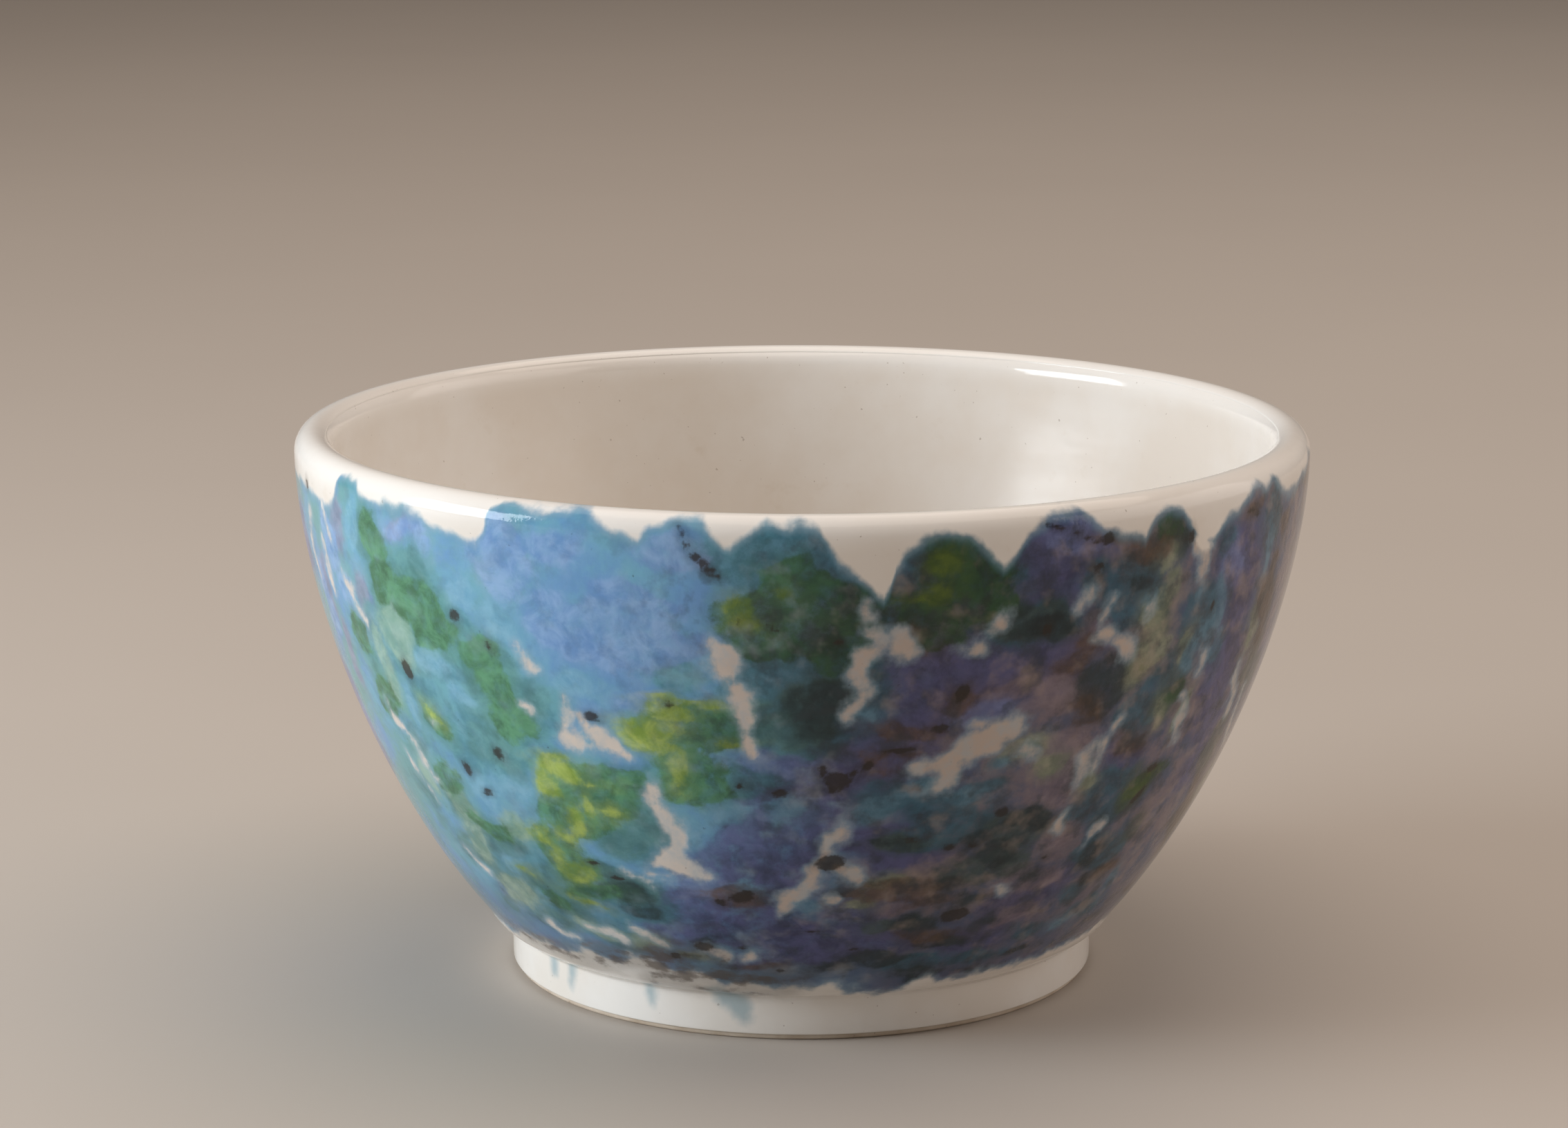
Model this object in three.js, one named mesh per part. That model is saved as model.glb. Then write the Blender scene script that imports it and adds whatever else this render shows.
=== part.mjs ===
// A footed ceramic punch bowl: a thick clay bowl on a luted foot ring, under one coat of glaze
// that runs from just above the table, over the lip and down to the middle of the well.
// Millimetres, +Z up, origin at the centre of the foot's contact face.
import * as THREE from "three";

// Driving dimensions of the finished, glazed bowl.
const bowlRadius = 130;
const widestHeight = 137;
const lipHeight = 142.2;
const wallThickness = 9.8;
const footRadius = 75.8;
const footHeight = 11.3;
const footWidth = 10.5;
const wellFloorHeight = 20;
const wellFlatRadius = 28;

// Layers of the wall: the glaze, and the gap that keeps it clear of the clay behind it.
const glazeThickness = 0.5;
const jointGap = 0.3;
const clayDepth = glazeThickness + jointGap;

// Below this height the glaze was wiped off the foot before firing.
const wipedHeight = 1.5;
const footEdgeChamfer = 1.2;

// The knuckle, where the wall turns under to meet the foot.
const knuckleOverhang = 7.4;
const knuckleRise = 6.6;
const knuckleBulgeOut = 5.2;
const knuckleBulgeUp = 2.1;

// Lengths of the handles that bend the outside and the inside of the wall.
const outsideLowHandleOut = 30.1;
const outsideLowHandleUp = 35.4;
const outsideHighHandle = 30.3;
const insideHighHandle = 24.4;
const insideLowHandle = 77.6;

// The fillet of glaze pooled in the corner under the bowl.
const poolFillet = 2.5;

// How finely each curve is divided.
const knuckleSteps = 3;
const outsideSteps = 9;
const lipSteps = 8;
const insideSteps = 11;
const roundSegments = 60;

const lipInsideRadius = bowlRadius - wallThickness;
const footInsideRadius = footRadius - footWidth;

const point = (radius, height) => new THREE.Vector2(radius, height);

// The outside, from the wiped edge up the foot, round the knuckle and up the wall to the lip.
function outsidePath() {
  const crease = point(footRadius, footHeight);
  const bulge = point(footRadius + knuckleBulgeOut, footHeight + knuckleBulgeUp);
  const knuckle = point(footRadius + knuckleOverhang, footHeight + knuckleRise);
  const turn = new THREE.QuadraticBezierCurve(crease, bulge, knuckle);
  const wall = new THREE.CubicBezierCurve(
    knuckle,
    point(knuckle.x + outsideLowHandleOut, knuckle.y + outsideLowHandleUp),
    point(bowlRadius, widestHeight - outsideHighHandle),
    point(bowlRadius, widestHeight),
  );
  return [
    point(footRadius, wipedHeight),
    ...turn.getPoints(knuckleSteps),
    ...wall.getPoints(outsideSteps).slice(1),
  ];
}

// The lip is half an ellipse from the outside of the wall to the inside.
function lipPath() {
  const middle = (bowlRadius + lipInsideRadius) / 2;
  const lip = new THREE.EllipseCurve(
    middle, widestHeight, wallThickness / 2, lipHeight - widestHeight, 0, Math.PI);
  return lip.getPoints(lipSteps).slice(1, -1);
}

// The inside falls from the lip and sweeps into the flat floor of the well.
function insidePath() {
  const wall = new THREE.CubicBezierCurve(
    point(lipInsideRadius, widestHeight),
    point(lipInsideRadius, widestHeight - insideHighHandle),
    point(wellFlatRadius + insideLowHandle, wellFloorHeight),
    point(wellFlatRadius, wellFloorHeight),
  );
  return [...wall.getPoints(insideSteps), point(0, wellFloorHeight)];
}

const glazedSurface = () => [...outsidePath(), ...lipPath(), ...insidePath()];

// A path moved into the material, which lies to the left of the way the path runs.
function inset(path, depth) {
  const normals = path.slice(1).map((end, i) => {
    const start = path[i];
    return point(start.y - end.y, end.x - start.x).normalize();
  });
  return path.map((corner, i) => {
    const into = normals[Math.max(i - 1, 0)];
    const outOf = normals[Math.min(i, normals.length - 1)];
    const mitre = into.clone().add(outOf).normalize();
    return corner.clone().addScaledVector(mitre, depth / mitre.dot(into));
  });
}

// A profile turned about the bowl's upright axis.
function turned(name, profile, material) {
  const mesh = new THREE.Mesh(new THREE.LatheGeometry(profile, roundSegments), material);
  mesh.name = name;
  mesh.rotation.x = Math.PI / 2;
  return mesh;
}

// The clay bowl: floor, wall and lip in one, flat underneath where the foot ring is luted on.
function bowlBody(material) {
  const clay = inset(glazedSurface(), clayDepth).slice(1);
  const underside = [point(0, footHeight), point(clay[0].x, footHeight)];
  return turned("bowl_body", [...underside, ...clay], material);
}

// The foot ring: a plain turned band with eased edges and a flat, unglazed contact face.
function footRing(material) {
  const outer = footRadius - clayDepth;
  const inner = footInsideRadius;
  const top = footHeight - jointGap;
  const profile = [
    point(inner, footEdgeChamfer),
    point(inner + footEdgeChamfer, 0),
    point(outer - footEdgeChamfer, 0),
    point(outer, footEdgeChamfer),
    point(outer, top),
    point(inner, top),
  ];
  return turned("foot_ring", [...profile, profile[0]], material);
}

// One coat of glaze over the foot's side, the outside, the lip and the whole inside.
function glazeCoat(material) {
  const surface = glazedSurface();
  const backing = inset(surface, glazeThickness).reverse();
  return turned("glaze_coat", [...backing, ...surface], material);
}

// The glaze under the bowl, inside the foot ring.
function undersideGlaze(material) {
  const outer = footInsideRadius - jointGap;
  const inner = outer - glazeThickness;
  const back = footHeight - jointGap;
  const face = back - glazeThickness;
  const edge = wipedHeight + 1;
  const profile = [
    point(0, face),
    point(inner - poolFillet, face),
    point(inner, face - poolFillet),
    point(inner, edge),
    point(outer, edge),
    point(outer, back),
    point(0, back),
  ];
  return turned("underside_glaze", profile, material);
}

const bisqueClay = new THREE.MeshStandardMaterial({
  name: "bisque_clay", color: 0xe2d3bf, roughness: 0.85, metalness: 0 });
const spongedGlaze = new THREE.MeshStandardMaterial({
  name: "sponged_glaze", color: 0x5f86ad, roughness: 0.12, metalness: 0 });
const whiteGlaze = new THREE.MeshStandardMaterial({
  name: "white_glaze", color: 0xf0e9e2, roughness: 0.12, metalness: 0 });

const punchBowl = new THREE.Group();
punchBowl.name = "punch_bowl";
punchBowl.add(
  bowlBody(bisqueClay),
  footRing(bisqueClay),
  glazeCoat(spongedGlaze),
  undersideGlaze(whiteGlaze),
);

export default punchBowl;
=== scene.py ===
"""The looks of the punch bowl: a milky glaze inside, on the lip and on the foot, and an outside
dabbed all over with blue, violet, teal, green and brown glaze colours."""

import math
import random

import bpy
import mathutils
import numpy as np
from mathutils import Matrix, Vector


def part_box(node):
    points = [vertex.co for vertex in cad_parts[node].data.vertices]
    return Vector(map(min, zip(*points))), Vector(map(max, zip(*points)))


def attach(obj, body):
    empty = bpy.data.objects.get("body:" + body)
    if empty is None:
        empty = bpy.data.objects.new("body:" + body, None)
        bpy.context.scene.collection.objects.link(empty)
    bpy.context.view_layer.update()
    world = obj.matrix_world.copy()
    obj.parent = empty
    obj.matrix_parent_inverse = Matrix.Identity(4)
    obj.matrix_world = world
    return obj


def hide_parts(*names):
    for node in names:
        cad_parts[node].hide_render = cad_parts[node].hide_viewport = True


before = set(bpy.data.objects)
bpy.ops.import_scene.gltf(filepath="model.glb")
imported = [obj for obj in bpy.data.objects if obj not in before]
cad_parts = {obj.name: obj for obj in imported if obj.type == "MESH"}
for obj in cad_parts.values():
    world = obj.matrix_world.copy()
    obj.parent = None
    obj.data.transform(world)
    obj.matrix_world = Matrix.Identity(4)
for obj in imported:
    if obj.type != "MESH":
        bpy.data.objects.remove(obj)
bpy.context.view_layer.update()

MM = 0.001
glaze_low, glaze_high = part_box("glaze_coat")
recess_low, recess_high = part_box("underside_glaze")
ring_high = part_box("foot_ring")[1]

# The glazed surface, in millimetres.
BOWL_RADIUS = glaze_high.x / MM
LIP_HEIGHT = glaze_high.z / MM
WIPED_HEIGHT = glaze_low.z / MM
CLAY_DEPTH = 0.8
GLAZE_THICKNESS = 0.5
FOOT_RADIUS = ring_high.x / MM + CLAY_DEPTH
FOOT_HEIGHT = 11.3
FOOT_WIDTH = 10.5
WIDEST_HEIGHT = 137.0
WALL_THICKNESS = 9.8
WELL_HEIGHT = 20.0
WELL_FLAT_RADIUS = 28.0
LIP_INSIDE_RADIUS = BOWL_RADIUS - WALL_THICKNESS
LIP_MIDDLE_RADIUS = (BOWL_RADIUS + LIP_INSIDE_RADIUS) / 2

# The bead of glaze at the wiped edge, and the crease that the foot's side turns out through.
BEAD = 0.45
CREASE_DROP = 0.9
CREASE_OUT, CREASE_UP = 1.0, 0.45

# The knuckle, where the wall turns under to meet the foot.
BULGE_OUT, BULGE_UP = 5.2, 2.2
KNUCKLE_OUT, KNUCKLE_UP = 7.4, 6.6

# Lengths of the handles that bend the outside and the inside of the wall.
OUTSIDE_LOW_OUT, OUTSIDE_LOW_UP = 30.1, 35.4
OUTSIDE_HIGH_HANDLE = 30.3
INSIDE_HIGH_HANDLE = 24.4
INSIDE_LOW_HANDLE = 77.6

# The eased edges of the clay foot, and the glaze's edge and pooled corner under the bowl.
EASE = 1.2
RECESS_EDGE = 0.6
POOL = 2.5

# How finely the surfaces are divided: columns round the bowl, and points round the lip.
COLUMNS = 480
PAINTED_COLUMNS = 600
LIP_POINTS = 25
# The painted skin ends and the white liner starts at this point of the lip.
LIP_SEAM = 18
# The hidden back of a skin of glaze keeps one point of its path in this many.
BACK_STEP = 6
ON_AXIS = 1e-6


# ---- profiles, as (radius, height)

def bezier(corners, count=200):
    """Points along a quadratic or cubic curve."""
    t = np.linspace(0.0, 1.0, count)[:, None]
    points = [np.array(corner, float)[None, :] for corner in corners]
    while len(points) > 1:
        points = [a * (1 - t) + b * t for a, b in zip(points, points[1:])]
    return points[0]


def run_along(path):
    """How far along the path each of its points is."""
    return np.concatenate([[0.0], np.cumsum(np.hypot(*np.diff(path, axis=0).T))])


def evenly(path, step):
    """The path again, with its points about step apart."""
    path = np.asarray(path, float)
    run = run_along(path)
    count = max(2, int(round(run[-1] / step)) + 1)
    at = np.linspace(0.0, run[-1], count)
    return np.column_stack([np.interp(at, run, path[:, 0]), np.interp(at, run, path[:, 1])])


def joined(*paths):
    """Paths end to end, with shared end points kept once."""
    out = [np.asarray(paths[0], float)]
    for path in paths[1:]:
        out.append(np.asarray(path, float)[1:])
    return np.vstack(out)


def inset(path, depth):
    """The path moved to its left, into the wall."""
    step = np.gradient(path, axis=0)
    step /= np.hypot(*step.T)[:, None]
    return path + depth * np.column_stack([-step[:, 1], step[:, 0]])


bead_top = (FOOT_RADIUS, WIPED_HEIGHT + BEAD)
crease_start = (FOOT_RADIUS, FOOT_HEIGHT - CREASE_DROP)
crease_end = (FOOT_RADIUS + CREASE_OUT, FOOT_HEIGHT + CREASE_UP)
bulge = (FOOT_RADIUS + BULGE_OUT, FOOT_HEIGHT + BULGE_UP)
knuckle_x, knuckle_z = FOOT_RADIUS + KNUCKLE_OUT, FOOT_HEIGHT + KNUCKLE_UP

bead = bezier([(FOOT_RADIUS - GLAZE_THICKNESS, WIPED_HEIGHT), (FOOT_RADIUS, WIPED_HEIGHT),
               bead_top], count=5)
foot_side = evenly([bead_top, crease_start], step=1.2)
crease = bezier([crease_start, (FOOT_RADIUS, FOOT_HEIGHT), crease_end], count=6)
knuckle = evenly(bezier([crease_end, bulge, (knuckle_x, knuckle_z)]), step=0.9)
outer_wall = evenly(bezier([(knuckle_x, knuckle_z),
                            (knuckle_x + OUTSIDE_LOW_OUT, knuckle_z + OUTSIDE_LOW_UP),
                            (BOWL_RADIUS, WIDEST_HEIGHT - OUTSIDE_HIGH_HANDLE),
                            (BOWL_RADIUS, WIDEST_HEIGHT)]), step=1.45)
lip_turn = np.linspace(0.0, math.pi, LIP_POINTS)
lip = np.column_stack([
    LIP_MIDDLE_RADIUS + WALL_THICKNESS / 2 * np.cos(lip_turn),
    WIDEST_HEIGHT + (LIP_HEIGHT - WIDEST_HEIGHT) * np.sin(lip_turn)])
inner_wall = evenly(bezier([(LIP_INSIDE_RADIUS, WIDEST_HEIGHT),
                            (LIP_INSIDE_RADIUS, WIDEST_HEIGHT - INSIDE_HIGH_HANDLE),
                            (WELL_FLAT_RADIUS + INSIDE_LOW_HANDLE, WELL_HEIGHT),
                            (WELL_FLAT_RADIUS, WELL_HEIGHT)]), step=2.4)
well_floor = evenly([(WELL_FLAT_RADIUS, WELL_HEIGHT), (0.0, WELL_HEIGHT)], step=3.5)

outside = joined(bead, foot_side, crease, knuckle, outer_wall, lip[:LIP_SEAM + 1])
inside = joined(lip[LIP_SEAM:], inner_wall, well_floor)


# ---- soft waves, the same every run

# The lengths of the waves in one field, as shares of its own, and how high it reaches.
WAVE_SPREAD = (0.7, 1.5)
WAVE_HEIGHT = 0.6
# How far the edges of marks stray on a long wave and on a short one, and how long those are.
LONG_STRAY, LONG_WAVE = 1.5, 15
SHORT_STRAY, SHORT_WAVE = 0.7, 6.5


def waves(xyz, length, seed, count=9):
    """A smooth field of about -1 to 1 over points, with features about length apart."""
    rng = np.random.default_rng(seed)
    total = np.zeros(len(xyz))
    for _ in range(count):
        way = rng.normal(size=3)
        way *= 2 * math.pi / (length * rng.uniform(*WAVE_SPREAD) * np.linalg.norm(way))
        total += np.sin(xyz @ way + rng.uniform(0, 2 * math.pi))
    return total / math.sqrt(count / 2.0) * WAVE_HEIGHT


def wander(xyz, seed):
    """How far the edges of marks stray, in mm: a long wave with a short one on it."""
    return (LONG_STRAY * waves(xyz, LONG_WAVE, seed)
            + SHORT_STRAY * waves(xyz, SHORT_WAVE, seed + 1))


# ---- turned meshes

def turned(name, path, closed=False, columns=COLUMNS):
    """A mesh of a profile turned about the bowl's axis. A point on the axis becomes one vertex."""
    angle = np.arange(columns) * (2 * math.pi / columns)
    vertices, rings = [], []
    for radius, z in path:
        if radius < ON_AXIS:
            rings.append([len(vertices)])
            vertices.append((0.0, 0.0, z))
            continue
        rings.append(list(range(len(vertices), len(vertices) + columns)))
        vertices.extend(zip(radius * np.sin(angle), -radius * np.cos(angle), [z] * columns))
    pairs = list(zip(rings, rings[1:]))
    if closed:
        pairs.append((rings[-1], rings[0]))
    faces = []
    for low, high in pairs:
        for i in range(columns):
            j = (i + 1) % columns
            if len(low) == 1 and len(high) == 1:
                continue
            if len(low) == 1:
                faces.append((low[0], high[j], high[i]))
            elif len(high) == 1:
                faces.append((low[i], low[j], high[0]))
            else:
                faces.append((low[i], low[j], high[j], high[i]))
    mesh = bpy.data.meshes.new(name)
    mesh.from_pydata([(x * MM, y * MM, z * MM) for x, y, z in vertices], [], faces)
    mesh.polygons.foreach_set("use_smooth", [True] * len(mesh.polygons))
    mesh.update()
    piece = bpy.data.objects.new(name, mesh)
    bpy.context.scene.collection.objects.link(piece)
    return piece


def points_of(piece):
    """A mesh's vertices as an array, in millimetres."""
    places = np.zeros(len(piece.data.vertices) * 3)
    piece.data.vertices.foreach_get("co", places)
    return places.reshape(-1, 3) / MM


# ---- the painting
# Azimuths are in degrees: 0 faces the camera and positive is to the right. Heights are in mm.
# A dab is (azimuth, height, half width in degrees, half height), with an optional lean in degrees.
# A bare stroke is a list of (azimuth, height, half width in degrees) along its length.
# Spots are given as dabs are, and dark strokes, runs and the painted crease shade as bare strokes are,
# but with half widths in mm.

# The ragged line that the colours stop at, under the lip: (azimuth, height).
TOP_EDGE = [
    (-90, 134), (-80, 133), (-72, 133), (-66, 131), (-61.5, 132), (-60, 139), (-58, 141.2), (-56, 140),
    (-55, 136), (-53, 135), (-50, 137.4), (-47, 136.8), (-45, 135.4), (-42, 133.5), (-40, 132.5),
    (-38, 132), (-36, 131.5), (-35, 134), (-34.2, 139), (-33, 140.8), (-31, 141), (-29, 141.2),
    (-26, 141.6), (-23, 141.4), (-21.8, 139.5), (-20, 138), (-18, 137.2), (-17, 136.2), (-16, 139),
    (-13, 140.4), (-10, 140.2), (-9, 138), (-7.5, 135.5), (-6, 138), (-5, 139.4), (-2, 139.9), (1.5, 139.4),
    (2.5, 136), (3.5, 132.5), (5, 130.3), (6.5, 128), (8.3, 123.8), (9.2, 127), (9.7, 132), (12, 135.6),
    (14, 137.4), (17, 137), (18.5, 135.4), (20, 131.5), (21, 129.5), (22, 131), (23.5, 136), (25, 139.6),
    (28, 141.2), (30, 140.8), (31.5, 138.6), (33, 135.6), (35, 134.2), (37, 133.5), (38.5, 132.5),
    (39.3, 136.5), (41, 138.6), (44, 137.6), (45.4, 134), (46.4, 130), (47.6, 127), (49, 128.5),
    (50.5, 131.5), (52, 133), (54, 134.5), (56, 138), (58, 139.4), (60, 136.5), (62, 139), (65, 134),
    (70, 134), (75, 136), (80, 138), (90, 135), (99, 139), (108, 133), (118, 137), (128, 132), (137, 138),
    (149, 135), (160, 139), (170, 134), (180, 137), (190, 132), (201, 138), (213, 134), (224, 139),
    (236, 133), (248, 137), (259, 132), (270, 134),
]

# The line that the colours start at, above the foot: (azimuth, height).
BOTTOM_EDGE = [
    (-90, 16), (-60, 18), (-50, 19), (-44, 19), (-38, 20.6), (-33, 19), (-29, 21.4), (-25, 20), (-21, 18.4),
    (-17, 19.4), (-13, 16), (-9, 17.4), (-5, 15.6), (0, 16.4), (5, 16.6), (8, 14.2), (12, 13.6), (15, 12.8),
    (18, 13.6), (20, 15.5), (22, 17.5), (25, 15), (30, 15.5), (35, 16.5), (40, 16), (50, 17), (60, 18),
    (90, 17), (120, 14), (131, 17), (150, 13.5), (165, 17), (180, 15), (205, 17.5), (221, 13), (240, 16),
    (252, 18), (270, 16),
]

# Places left bare, where the white shows between the dabs.
BARE = [
    [(-9.4, 111, 2), (-8.2, 107.5, 3.4), (-7.6, 104, 1.2)],
    [(-7.2, 101.4, 0.9), (-6.7, 98, 2.4), (-6.1, 94.2, 1.6), (-5.9, 89.6, 0.3),
     (-5.5, 86.2, 1.4), (-5, 83.2, 0.8)],
    [(6.1, 121.2, 0.8), (6.9, 118.4, 0.9)],
    [(7.2, 114.2, 1), (8.4, 112.6, 1.8), (10.6, 111.6, 1.9), (11.2, 109.6, 1.2)],
    [(10, 114.8, 0.9), (10.9, 112, 1.4)],
    [(8.6, 110.8, 1.7), (6.4, 107.4, 1.7), (5.9, 103.6, 1.4), (6.8, 99.6, 1.4),
     (6, 96.4, 1.2), (5.1, 93.4, 1.2)],
    [(17.2, 108.8, 0.5), (18.6, 109.8, 0.7)],
    [(19.8, 113.6, 0.4), (21.2, 115.6, 1), (22.4, 117.6, 0.5)],
    [(-32.2, 107.6, 0.6), (-31.4, 105, 1.3), (-30.2, 102.2, 0.7)],
    [(-27.2, 93.6, 0.8), (-27, 90.4, 1), (-27.6, 85.8, 2), (-25.8, 83.6, 2)],
    [(-25, 90.8, 0.9), (-24.6, 87.4, 1.7), (-22.6, 84.6, 2.2), (-21, 81.8, 1.6)],
    [(-17.6, 73.6, 1.4), (-17.1, 70, 2.1), (-16, 66, 1.9), (-15.7, 62, 1.8),
     (-16.2, 57.4, 2.8), (-17, 54.2, 3.6), (-14.6, 52.4, 3.2), (-13, 50, 1.8)],
    [(-23.6, 49, 0.7), (-21.6, 46.6, 0.9), (-20.6, 44.6, 0.6)],
    [(-20, 49, 1.1), (-17.2, 48.2, 1.1)],
    [(-62, 116, 0.8), (-59.6, 109.6, 1.3), (-57.6, 103.6, 0.7)],
    [(-67, 122, 0.6), (-66, 114, 0.9), (-65.4, 108, 0.4)],
    [(-58.6, 81, 0.6), (-55.4, 72.6, 1.2), (-53, 64, 0.9)],
    [(-55, 44, 0.9), (-52, 38, 1.2)],
    [(-43.4, 28, 1.1), (-40.6, 25, 1.1), (-38, 24.4, 0.8)],
    [(12.2, 80.4, 0.9), (14.6, 80.8, 1.5), (17, 81.6, 2.2), (19.4, 84.2, 2.6),
     (22.2, 87.2, 2.8), (25, 88.8, 1.8)],
    [(19.6, 90.6, 0.8), (21.8, 90, 1.2)],
    [(17, 81, 2.1), (16.8, 77.2, 2), (16.2, 74, 1.4)],
    [(26.4, 82.4, 0.8), (27.4, 80, 0.9)],
    [(5.2, 66, 0.9), (4.4, 62, 1.6), (3, 58, 1.7), (2, 54, 1.5),
     (1.2, 50, 1.4), (0, 46.6, 1.4), (-2, 43.2, 2.1), (-3.3, 41, 2)],
    [(4.4, 52.6, 1), (6.4, 51.6, 1.5), (7.8, 49.6, 0.8)],
    [(3.4, 44.6, 1), (4.6, 44.2, 0.9)],
    [(36.2, 108, 0.9), (37.2, 105.4, 1.3), (38, 102.6, 0.8)],
    [(32.8, 109.6, 0.9), (35.2, 110.4, 1.2)],
    [(39.4, 112.4, 0.6), (40.4, 114.8, 0.5)],
    [(34.8, 118, 0.5), (34, 115, 0.8), (33.4, 112.4, 0.5)],
    [(32.4, 121.6, 0.5), (31.2, 119.4, 0.7), (30.4, 117.4, 0.5)],
    [(46.6, 131.6, 1.6), (47.6, 127, 1.9), (48.2, 123, 1.2), (47.8, 120, 0.6)],
    [(39.2, 84.6, 0.4), (38.4, 81, 1), (37.8, 77.6, 0.9), (37, 74.4, 0.4)],
    [(36.2, 79.6, 0.8), (35, 75.6, 1.1), (34.4, 72, 0.7)],
    [(51.6, 99.6, 0.6), (52, 96.4, 0.8), (51.4, 94, 0.4)],
    [(49.4, 88, 0.5), (50.6, 84.4, 0.9), (51.4, 80.2, 0.8), (51.6, 76.4, 0.4)],
    [(42.6, 57, 0.5), (41.4, 54.4, 0.7), (40.4, 51.6, 0.5)],
    [(34.6, 62.4, 0.6), (34.2, 59.6, 0.8), (34.8, 57, 0.5)],
    [(-14.6, 27, 0.8), (-12, 25.4, 1)],
    [(-8.6, 25, 1.2), (-7, 26.8, 1.2)],
    [(-34, 29.6, 1), (-31, 29.4, 1.6), (-28.6, 27.6, 1)],
    [(-26.2, 31.4, 0.7), (-24, 29.6, 1.2), (-22, 27.6, 0.8)],
    [(-64.4, 136, 0.6), (-64.6, 130, 1.2), (-64, 124, 0.8)],
    [(-71, 128, 0.7), (-72, 118, 1), (-71, 108, 0.6)],
    [(-59.6, 70, 0.5), (-58.4, 64, 1), (-56.4, 58, 0.6)],
    [(-48.6, 80.4, 0.4), (-48, 82.6, 0.4)],
    [(-33.4, 93, 0.3), (-31.6, 91.4, 0.4)],
    [(28.4, 44, 0.5), (29.4, 41, 0.6)],
    [(62, 92, 0.8), (63.6, 84, 1.1), (64.2, 76, 0.8)],
]

# Violet and indigo.
VIOLET = [
    (20.5, 108, 8, 7), (14, 101, 11, 9), (24, 101, 8, 8), (10, 93, 8, 7), (5, 85, 9, 6), (-1, 82, 6, 4),
    (3, 77, 10, 7), (-4.5, 74, 5, 5), (11, 86, 5, 5), (-3.5, 60, 7, 11), (-11, 53, 7, 7), (-9, 40, 8, 8),
    (-16, 41, 6, 6), (-17, 33, 6, 5), (-11, 31, 7, 6), (-3, 50, 5, 8), (-3, 33, 8, 6), (3, 27, 10, 6),
    (10, 31, 9, 7), (0, 67, 5, 6), (9, 61, 7, 6), (13, 55, 6, 5), (27.5, 131, 7, 8), (26, 137, 4.5, 4),
    (31, 137, 4.5, 4.5), (27, 119, 6, 5), (31, 112, 6, 6), (55, 120, 5, 13), (56.5, 107, 4, 9),
    (57, 92, 5, 11), (58, 79, 5, 9), (60, 66, 4, 9), (-84, 96, 5, 22), (-78, 116, 3, 9), (-56, 107, 2, 6),
    (-76, 78, 4, 12), (38, 42, 5, 8), (32, 36, 6, 7), (28, 28, 7, 6), (-20, 30, 4, 4), (7, 40, 6, 6),
    (-6, 24, 6, 4), (42, 76, 3, 6),
]

# A muted sea green, under the brighter greens.
SEA = [
    (-51, 114, 4.6, 9), (-46, 121, 3.6, 6), (-55, 104, 3.6, 8), (-49, 99, 4.4, 6), (-44, 105, 4.6, 7),
    (-58, 90, 2.6, 7), (-36, 100, 5.4, 7), (-37.6, 90, 5.4, 7), (-33.4, 94, 4.4, 6), (-38.6, 78, 4.6, 6),
    (-49, 84, 3, 7), (-54, 75, 2.6, 7), (-50, 57, 4, 5), (-45, 50, 5, 5), (-52, 45, 4, 6), (-40, 42, 6, 5),
    (-46, 36, 5, 5), (-36, 35, 6, 4.4), (-58, 60, 2.4, 8), (-19.6, 65, 4.6, 7), (-23, 57, 4, 5),
    (-24.6, 44, 5, 6), (-51, 31, 4, 4.4), (-42, 28.4, 5, 3.4), (-54, 126, 3.4, 7), (-1, 90, 6, 6),
    (1.4, 99, 5, 6), (42.4, 130, 4, 6), (41, 111, 3, 9), (40.4, 100, 2.6, 5), (45.6, 88, 2.6, 6),
    (46.4, 64, 3, 7), (50, 53, 2.6, 5), (28, 60, 6, 6), (23, 50, 6, 5), (29, 52, 4, 5), (13, 35, 5, 3),
    (24.6, 115, 6, 5), (67, 92, 2.4, 8), (64, 70, 2.4, 8), (12, 60, 4, 3),
]

# A thin mauve grey.
MAUVE_DABS = [
    (29.6, 95, 3.6, 7), (32.4, 112, 3.4, 5), (31.6, 82, 4, 5), (33.6, 75, 5, 8), (37, 66, 3.4, 8),
    (31.6, 68, 3, 5), (35.6, 55, 4, 8), (31, 49, 3, 4), (35, 44, 4, 5), (41, 84, 2, 6), (39.6, 107, 2, 5),
    (33, 34, 4, 5), (24, 98, 3, 4), (44, 38, 4, 5), (13, 40, 3, 3), (-66, 92, 1.6, 10),
    (-47, 132.4, 3.4, 3.4), (-61, 127, 1.6, 6), (-68, 108, 2, 10), (-57.6, 111, 1.4, 8), (20, 53, 2.4, 3),
]

# A pale sage, thinned green.
SAGE = [
    (40.8, 112, 2.8, 7), (41.4, 103.4, 3, 6), (43.6, 119, 1.6, 5), (39.4, 98, 1.4, 4), (26, 82, 3, 4),
    (31, 78, 2.4, 4), (36, 72, 1.8, 4), (11.6, 47, 3.4, 3), (8, 42, 2.4, 2.4), (-32, 29, 5, 3),
    (-25, 28, 5, 3), (-17, 25, 4, 2.4), (47.6, 102, 1.4, 6), (45.6, 86, 1.6, 6), (42, 126, 1.2, 4),
    (50.6, 84, 1.2, 6), (-51, 104, 3.4, 9), (-56, 93, 1.8, 9), (-55, 66, 2.4, 8), (-49, 58, 3, 7),
    (-40.4, 57, 3, 5), (-46, 36, 4, 6), (-50.6, 48, 2.6, 7), (-33.6, 30, 4, 3), (63, 100, 1.6, 8),
]

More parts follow.
